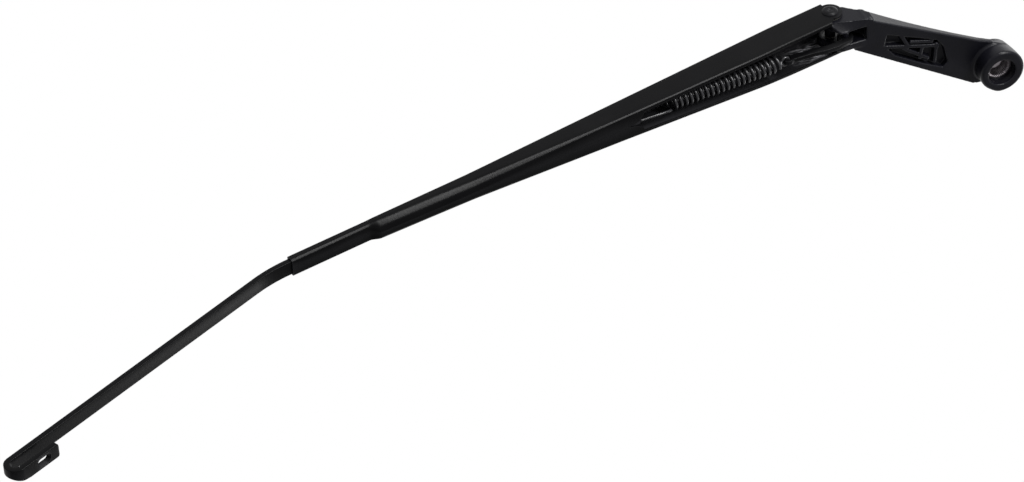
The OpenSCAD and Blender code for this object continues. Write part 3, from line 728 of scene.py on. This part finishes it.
hingeRivet = turned("hingeRivet", rivetProfile(), rivet["steps"], onRivet)
finishPiece(hingeRivet, "arm", coatedRivet, "hinge_rivet")
print("rivet and link made")

# steel sleeve, with its splined seat, which tapers towards the stud's hole
sleeve = {"outer": 9.2, "bottom": 6.5, "top": 19.0, "edge": 0.3, "stud": 5.2, "studEdge": 0.4,
          "seat": 7.4, "seatDepth": 6.5, "taper": 0.92, "mouth": 0.8, "mouthShare": 0.12, "mouthWider": 0.6,
          "teeth": 36, "tooth": 0.7, "toothSteps": 10, "flankGain": 1.6, "flankLoss": 0.3, "sharp": 30}


# the seat's radius as a function of the angle, at a share of its depth
def seatRadius(share):
    def radius(angle):
        wave = 0.5 - 0.5 * cos(sleeve["teeth"] * angle)
        crest = sleeve["seat"] * (1 + (sleeve["taper"] - 1) * share)
        return crest - sleeve["tooth"] * min(1, max(0, wave * sleeve["flankGain"] - sleeve["flankLoss"]))
    return radius


def sleeveProfile():
    bottom, top, outer = sleeve["bottom"], sleeve["top"], sleeve["outer"]
    edge, stud, studEdge = sleeve["edge"], sleeve["stud"], sleeve["studEdge"]
    seatTop = bottom + sleeve["seatDepth"]
    outside = [(outer - edge, bottom), (outer, bottom + edge), (outer, top - edge), (outer - edge, top)]
    hole = [(stud + studEdge, top), (stud, top - studEdge),
            (stud, seatTop + studEdge), (stud + studEdge, seatTop)]
    seat = [(seatRadius(1), seatTop), (seatRadius(0.5), bottom + sleeve["seatDepth"] / 2),
            (seatRadius(sleeve["mouthShare"]), bottom + sleeve["mouth"]),
            (sleeve["seat"] + sleeve["mouthWider"], bottom)]
    return outside + hole + seat


splinedSleeve = turned("splinedSleeve", sleeveProfile(), sleeve["teeth"] * sleeve["toothSteps"], onPart,
                       sleeve["sharp"])
finishPiece(splinedSleeve, "head", steel, "spindle_sleeve")
print("sleeve made")

# cast head: the solid's form with the soft edges and fillets of a casting, in millimetres
casting = {"grid": 0.5, "smoothing": 0.5, "smoothSteps": 5, "swell": 0.35}
head = copyOfNode("head_casting", "castHead")
step = head.modifiers.new("grid", "REMESH")
step.mode = "VOXEL"
step.voxel_size = casting["grid"] / 1000
step = head.modifiers.new("soft edges", "SMOOTH")
step.factor = casting["smoothing"]
step.iterations = casting["smoothSteps"]
step = head.modifiers.new("swell", "DISPLACE")  # gives back what the smoothing took off the edges
step.strength = casting["swell"] / 1000
step.mid_level = 0.0
applyAll(head)

# the boss flares at its open end and draws in towards its top, while the recess in it stays as it is
boss = {"inner": 10.5, "outer": 16.5, "skin": 2.5, "barFrom": 9.0, "barFade": 8, "height": 22.5,
        "flare": 1.1, "draw": 3.2, "drawCurve": 1.5, "recessTop": 3, "recessWall": 12}
# the near ear's lower edge slants up towards the rivet
ear = {"from": 88, "to": 114, "side": 54.5, "thick": 5, "inner": 12.0, "low": 13.0, "high": 17.3,
       "slantFrom": 90.5, "slantLen": 21}
for vertex in head.data.vertices:
    x, y, z = vertex.co * 1000
    radius = hypot(x, y)
    if boss["inner"] < radius < boss["outer"] and x < boss["barFrom"]:
        share = ease((radius - boss["inner"]) / boss["skin"]) * ease((boss["barFrom"] - x) / boss["barFade"])
        drawn = boss["draw"] * (max(0, z) / boss["height"]) ** boss["drawCurve"]
        grow = 1 + share * (boss["flare"] - drawn) / radius
        if z > boss["recessTop"] or radius > boss["recessWall"]:
            vertex.co = Vector((x * grow, y * grow, z)) / 1000
    if ear["from"] < x < ear["to"] and y > ear["side"]:
        outerEdge = mix(ear["low"], ear["high"], (x - ear["slantFrom"]) / ear["slantLen"])
        vertex.co.z = max(z, mix(ear["inner"], outerEdge, (y - ear["side"]) / ear["thick"])) / 1000
head.data.shade_smooth()
finishPiece(head, "head", powderCoatCast, "head_casting")
print("head made", len(head.data.polygons))

# the bushes keep their solids
for name in ("hinge_bush_near", "hinge_bush_far"):
    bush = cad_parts[name]
    bush.data.materials.clear()
    bush.data.materials.append(acetal)

# floor and world: white paper far under the arm, and a plain studio round it
stage = {"floorHeight": -3.4, "floorSize": 18.5, "floor": "#e8e8e8", "floorRough": 0.8, "ambient": 0.4}
floorMesh = bpy.data.meshes.new("floor")
reach = stage["floorSize"] / 2
square = ((-reach, -reach), (reach, -reach), (reach, reach), (-reach, reach))
floorMesh.from_pydata([(x, y, stage["floorHeight"]) for x, y in square], [], [(0, 1, 2, 3)])
floorPlane = bpy.data.objects.new("floor", floorMesh)
bpy.context.scene.collection.objects.link(floorPlane)
# matt white paper, pressed smooth: pale and without gloss
paper, paperShader = newMaterial("mattPaper")
paperShader.inputs["Base Color"].default_value = hexColour(stage["floor"])
paperShader.inputs["Roughness"].default_value = stage["floorRough"]
floorMesh.materials.append(paper)

world = bpy.data.worlds.new("studio")
bpy.context.scene.world = world
world.use_nodes = True
tree = world.node_tree
rays = addNode(tree, "ShaderNodeLightPath")
seen = addNode(tree, "ShaderNodeMath", {0: rays.outputs["Is Camera Ray"], 1: rays.outputs["Is Glossy Ray"]},
               operation="MAXIMUM")
seenAll = addNode(tree, "ShaderNodeMath", {0: seen.outputs["Value"], 1: rays.outputs["Is Transmission Ray"]},
                  operation="MAXIMUM")
strength = addNode(tree, "ShaderNodeMapRange", {"Value": seenAll.outputs["Value"], "To Min": stage["ambient"],
                                                "To Max": 1.0})
background = tree.nodes["Background"]
background.inputs["Color"].default_value = (1, 1, 1, 1)
tree.links.new(strength.outputs["Result"], background.inputs["Strength"])

# soft boxes: place and size in metres, power in watts, and the way their long side runs
lamps = {
    "edgeBox": {"place": (-1.05, 2.35, -0.75), "size": (2.9, 0.5), "power": 150, "runs": (-0.2, -0.55, -0.8)},
    "barBox": {"place": (-1.8, -1.77, -0.62), "size": (0.5, 0.5), "power": 9, "runs": (1, 0, 0)},
    "frontBox": {"place": (0.9, 2.2, -1.2), "size": (1.0, 0.6), "power": 4, "runs": (1, 0, 0)},
    "topBox": {"place": (-1.9, 0.1, 2.2), "size": (1.6, 1.6), "power": 10, "runs": (1, 0, 0)},
}
armMiddle = Vector((0.36, 0.03, -0.06))  # what they all look at
for name, lamp in lamps.items():
    data = bpy.data.lights.new(name, "AREA")
    data.shape = "RECTANGLE"
    data.size, data.size_y = lamp["size"]
    data.energy = lamp["power"]
    box = bpy.data.objects.new(name, data)
    away = (Vector(lamp["place"]) - armMiddle).normalized()
    runs = Vector(lamp["runs"])
    runs = (runs - away * runs.dot(away)).normalized()
    box.matrix_world = placedAlong(lamp["place"], runs, away.cross(runs), away)
    bpy.context.scene.collection.objects.link(box)
bpy.context.scene.view_settings.view_transform = "Standard"
print("stage and lamps set")
